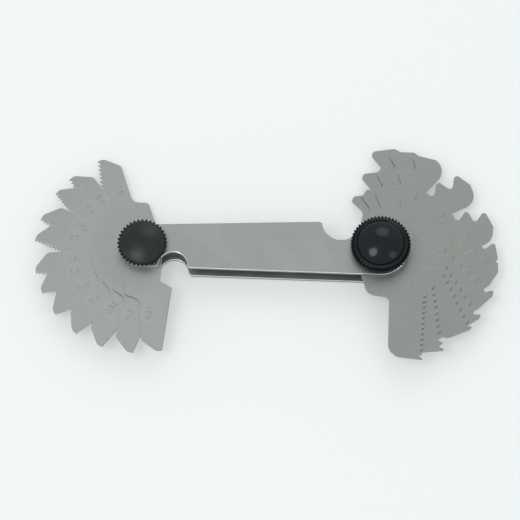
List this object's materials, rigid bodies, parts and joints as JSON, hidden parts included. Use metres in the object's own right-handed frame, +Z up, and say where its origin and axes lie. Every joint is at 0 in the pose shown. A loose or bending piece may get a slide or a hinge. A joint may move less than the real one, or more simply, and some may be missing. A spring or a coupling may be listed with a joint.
{
  "type": "thread pitch gauge",
  "caption": "Folding screw pitch gauge: two flat steel handle plates hold a fan of toothed leaves on a knob-clamped pivot at each end.",
  "frame": {"origin": "centre of the underside of the head of the stud at the fine end, on the plane the gauge rests on", "axes": "+X from the fine stud to the coarse stud along the handle, +Z up along the studs towards the knobs"},
  "size_m": [0.1058, 0.0522, 0.0119],
  "materials": {
    "plate_steel": "satin ground sheet steel",
    "fine_leaf_steel": "satin ground spring steel",
    "coarse_leaf_steel": "satin ground spring steel",
    "stud_steel": "turned steel",
    "bush_brass": "turned",
    "fine_knob_plastic": "moulded, half gloss",
    "coarse_knob_plastic": "moulded, gloss"
  },
  "bodies": {
    "handle": {"lower_plate": "plate_steel", "upper_plate": "plate_steel", "fine_stud": "stud_steel", "coarse_stud": "stud_steel"},
    "leaf_0_25": {"leaf_0_25": "fine_leaf_steel"},
    "leaf_0_30": {"leaf_0_30": "fine_leaf_steel"},
    "leaf_0_35": {"leaf_0_35": "fine_leaf_steel"},
    "leaf_0_40": {"leaf_0_40": "fine_leaf_steel"},
    "leaf_0_45": {"leaf_0_45": "fine_leaf_steel"},
    "leaf_0_50": {"leaf_0_50": "fine_leaf_steel"},
    "leaf_0_60": {"leaf_0_60": "fine_leaf_steel"},
    "leaf_0_70": {"leaf_0_70": "fine_leaf_steel"},
    "leaf_0_75": {"leaf_0_75": "fine_leaf_steel"},
    "leaf_0_80": {"leaf_0_80": "fine_leaf_steel"},
    "leaf_0_90": {"leaf_0_90": "fine_leaf_steel"},
    "leaf_1_00": {"leaf_1_00": "fine_leaf_steel"},
    "fine_washer": {"fine_washer": "stud_steel"},
    "fine_knob": {"fine_knob": "fine_knob_plastic", "fine_knob_bush": "bush_brass"},
    "leaf_1_25": {"leaf_1_25": "coarse_leaf_steel"},
    "leaf_1_50": {"leaf_1_50": "coarse_leaf_steel"},
    "leaf_1_75": {"leaf_1_75": "coarse_leaf_steel"},
    "leaf_2_00": {"leaf_2_00": "coarse_leaf_steel"},
    "leaf_2_50": {"leaf_2_50": "coarse_leaf_steel"},
    "leaf_3_00": {"leaf_3_00": "coarse_leaf_steel"},
    "leaf_3_50": {"leaf_3_50": "coarse_leaf_steel"},
    "leaf_4_00": {"leaf_4_00": "coarse_leaf_steel"},
    "leaf_4_50": {"leaf_4_50": "coarse_leaf_steel"},
    "leaf_5_00": {"leaf_5_00": "coarse_leaf_steel"},
    "leaf_5_50": {"leaf_5_50": "coarse_leaf_steel"},
    "leaf_6_00": {"leaf_6_00": "coarse_leaf_steel"},
    "coarse_washer": {"coarse_washer": "stud_steel"},
    "coarse_knob": {"coarse_knob": "coarse_knob_plastic", "coarse_knob_bush": "bush_brass"}
  },
  "joints": [
    {"name": "leaf_0_25_swing", "type": "hinge", "parent": "handle", "child": "leaf_0_25", "pos_m": [0, 0, 0.004], "axis": [0, 0, 1], "range_deg": [-263.5, 6.5]},
    {"name": "leaf_0_30_swing", "type": "hinge", "parent": "handle", "child": "leaf_0_30", "pos_m": [0, 0, 0.004], "axis": [0, 0, 1], "range_deg": [-248.5, 21.5]},
    {"name": "leaf_0_35_swing", "type": "hinge", "parent": "handle", "child": "leaf_0_35", "pos_m": [0, 0, 0.004], "axis": [0, 0, 1], "range_deg": [-232.3, 37.7]},
    {"name": "leaf_0_40_swing", "type": "hinge", "parent": "handle", "child": "leaf_0_40", "pos_m": [0, 0, 0.004], "axis": [0, 0, 1], "range_deg": [-216.6, 53.4]},
    {"name": "leaf_0_45_swing", "type": "hinge", "parent": "handle", "child": "leaf_0_45", "pos_m": [0, 0, 0.004], "axis": [0, 0, 1], "range_deg": [-201.3, 68.7]},
    {"name": "leaf_0_50_swing", "type": "hinge", "parent": "handle", "child": "leaf_0_50", "pos_m": [0, 0, 0.004], "axis": [0, 0, 1], "range_deg": [-187.1, 82.9]},
    {"name": "leaf_0_60_swing", "type": "hinge", "parent": "handle", "child": "leaf_0_60", "pos_m": [0, 0, 0.004], "axis": [0, 0, 1], "range_deg": [-175.3, 94.7]},
    {"name": "leaf_0_70_swing", "type": "hinge", "parent": "handle", "child": "leaf_0_70", "pos_m": [0, 0, 0.004], "axis": [0, 0, 1], "range_deg": [-157, 113]},
    {"name": "leaf_0_75_swing", "type": "hinge", "parent": "handle", "child": "leaf_0_75", "pos_m": [0, 0, 0.004], "axis": [0, 0, 1], "range_deg": [-144.9, 125.1]},
    {"name": "leaf_0_80_swing", "type": "hinge", "parent": "handle", "child": "leaf_0_80", "pos_m": [0, 0, 0.004], "axis": [0, 0, 1], "range_deg": [-128.4, 141.6]},
    {"name": "leaf_0_90_swing", "type": "hinge", "parent": "handle", "child": "leaf_0_90", "pos_m": [0, 0, 0.004], "axis": [0, 0, 1], "range_deg": [-117.3, 152.7]},
    {"name": "leaf_1_00_swing", "type": "hinge", "parent": "handle", "child": "leaf_1_00", "pos_m": [0, 0, 0.004], "axis": [0, 0, 1], "range_deg": [-99.2, 170.8]},
    {"name": "fine_washer_lift", "type": "slide", "parent": "handle", "child": "fine_washer", "axis": [0, 0, 1], "range_m": [0, 0.001]},
    {"name": "fine_knob_turn", "type": "hinge", "parent": "fine_washer", "child": "fine_knob", "pos_m": [0, 0, 0.00719], "axis": [0, 0, 1], "range_deg": [0, 720]},
    {"name": "leaf_1_25_swing", "type": "hinge", "parent": "handle", "child": "leaf_1_25", "pos_m": [0.054, 0, 0.004], "axis": [0, 0, 1], "range_deg": [-86.5, 183.5]},
    {"name": "leaf_1_50_swing", "type": "hinge", "parent": "handle", "child": "leaf_1_50", "pos_m": [0.054, 0, 0.004], "axis": [0, 0, 1], "range_deg": [-97.5, 172.5]},
    {"name": "leaf_1_75_swing", "type": "hinge", "parent": "handle", "child": "leaf_1_75", "pos_m": [0.054, 0, 0.004], "axis": [0, 0, 1], "range_deg": [-114.8, 155.2]},
    {"name": "leaf_2_00_swing", "type": "hinge", "parent": "handle", "child": "leaf_2_00", "pos_m": [0.054, 0, 0.004], "axis": [0, 0, 1], "range_deg": [-122.1, 147.9]},
    {"name": "leaf_2_50_swing", "type": "hinge", "parent": "handle", "child": "leaf_2_50", "pos_m": [0.054, 0, 0.004], "axis": [0, 0, 1], "range_deg": [-135.8, 134.2]},
    {"name": "leaf_3_00_swing", "type": "hinge", "parent": "handle", "child": "leaf_3_00", "pos_m": [0.054, 0, 0.004], "axis": [0, 0, 1], "range_deg": [-150.3, 119.7]},
    {"name": "leaf_3_50_swing", "type": "hinge", "parent": "handle", "child": "leaf_3_50", "pos_m": [0.054, 0, 0.004], "axis": [0, 0, 1], "range_deg": [-159.8, 110.2]},
    {"name": "leaf_4_00_swing", "type": "hinge", "parent": "handle", "child": "leaf_4_00", "pos_m": [0.054, 0, 0.004], "axis": [0, 0, 1], "range_deg": [-177.2, 92.8]},
    {"name": "leaf_4_50_swing", "type": "hinge", "parent": "handle", "child": "leaf_4_50", "pos_m": [0.054, 0, 0.004], "axis": [0, 0, 1], "range_deg": [-202.2, 67.8]},
    {"name": "leaf_5_00_swing", "type": "hinge", "parent": "handle", "child": "leaf_5_00", "pos_m": [0.054, 0, 0.004], "axis": [0, 0, 1], "range_deg": [-226, 44]},
    {"name": "leaf_5_50_swing", "type": "hinge", "parent": "handle", "child": "leaf_5_50", "pos_m": [0.054, 0, 0.004], "axis": [0, 0, 1], "range_deg": [-238.6, 31.4]},
    {"name": "leaf_6_00_swing", "type": "hinge", "parent": "handle", "child": "leaf_6_00", "pos_m": [0.054, 0, 0.004], "axis": [0, 0, 1], "range_deg": [-248.4, 21.6]},
    {"name": "coarse_washer_lift", "type": "slide", "parent": "handle", "child": "coarse_washer", "axis": [0, 0, 1], "range_m": [0, 0.001]},
    {"name": "coarse_knob_turn", "type": "hinge", "parent": "coarse_washer", "child": "coarse_knob", "pos_m": [0.054, 0, 0.00719], "axis": [0, 0, 1], "range_deg": [0, 720]}
  ],
  "couplings": [
    {"joint": "fine_knob_turn", "follows": "fine_washer_lift", "rad_per_m": 12566},
    {"joint": "coarse_knob_turn", "follows": "coarse_washer_lift", "rad_per_m": 12566}
  ]
}
